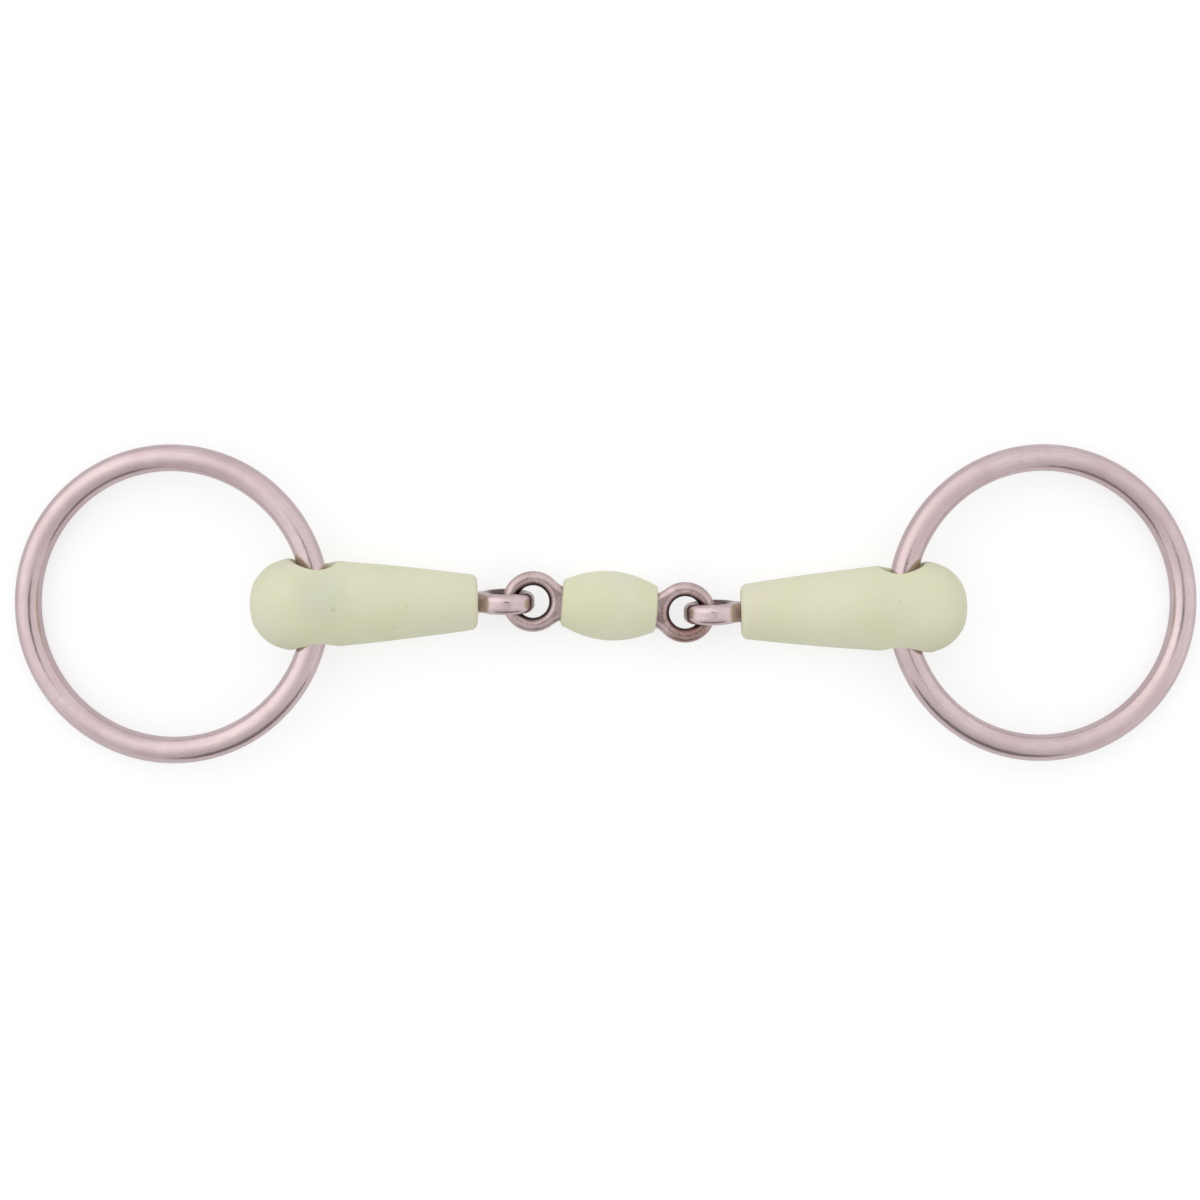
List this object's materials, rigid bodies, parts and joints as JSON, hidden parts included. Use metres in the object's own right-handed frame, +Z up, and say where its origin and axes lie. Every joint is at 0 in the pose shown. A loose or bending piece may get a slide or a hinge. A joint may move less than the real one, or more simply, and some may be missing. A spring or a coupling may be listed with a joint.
{
  "type": "loose-ring snaffle bit",
  "caption": "Double-jointed loose-ring snaffle bit: round steel rings, tapered plastic-covered arms and a flat-eyed centre link with a plastic barrel.",
  "frame": {"origin": "on the table the bit lies on, midway between the centres of its rings", "axes": "+X along the mouthpiece from the left ring to the right ring, +Y across it in the table's plane, +Z up"},
  "size_m": [0.2872, 0.0774, 0.0223],
  "materials": {
    "ring_steel": "polished stainless steel, fine scratches",
    "eye_steel": "polished stainless steel, slightly darkened",
    "arm_plastic": "soft satin, slightly translucent",
    "barrel_plastic": "soft satin, slightly translucent",
    "bush_plastic": "smooth hard plastic"
  },
  "bodies": {
    "link": {"link_core": "eye_steel", "link_barrel": "barrel_plastic"},
    "left_arm": {"left_core": "eye_steel", "left_sleeve": "arm_plastic"},
    "right_arm": {"right_core": "eye_steel", "right_sleeve": "arm_plastic"},
    "left_bush": {"left_bush": "bush_plastic"},
    "right_bush": {"right_bush": "bush_plastic"},
    "left_ring": {"left_ring": "ring_steel"},
    "right_ring": {"right_ring": "ring_steel"}
  },
  "joints": [
    {"name": "left_arm_fold", "type": "hinge", "parent": "link", "child": "left_arm", "pos_m": [-0.02398, 0.00052, 0.00845], "axis": [-0.0087, 1, 0], "range_deg": [-126, 120]},
    {"name": "left_ring_swing", "type": "hinge", "parent": "left_arm", "child": "left_bush", "pos_m": [-0.07087, 0.00011, 0.01083], "axis": [-0.0038, 0.9954, 0.0957], "range_deg": [-161, 177]},
    {"name": "left_ring_spin", "type": "hinge", "parent": "left_bush", "child": "left_ring", "pos_m": [-0.10531, -0.00019, 0.00707], "axis": [-0.1084, -0.0009, 0.9941], "continuous": true},
    {"name": "right_arm_fold", "type": "hinge", "parent": "link", "child": "right_arm", "pos_m": [0.02401, -0.00208, 0.00845], "axis": [-0.0279, 0.9996, 0], "range_deg": [-120, 126]},
    {"name": "right_ring_swing", "type": "hinge", "parent": "right_arm", "child": "right_bush", "pos_m": [0.07088, -0.00077, 0.01083], "axis": [-0.0318, 0.9964, 0.0784], "range_deg": [-177, 161]},
    {"name": "right_ring_spin", "type": "hinge", "parent": "right_bush", "child": "right_ring", "pos_m": [0.10531, 0.00019, 0.00707], "axis": [0.1084, 0.003, 0.9941], "continuous": true}
  ]
}
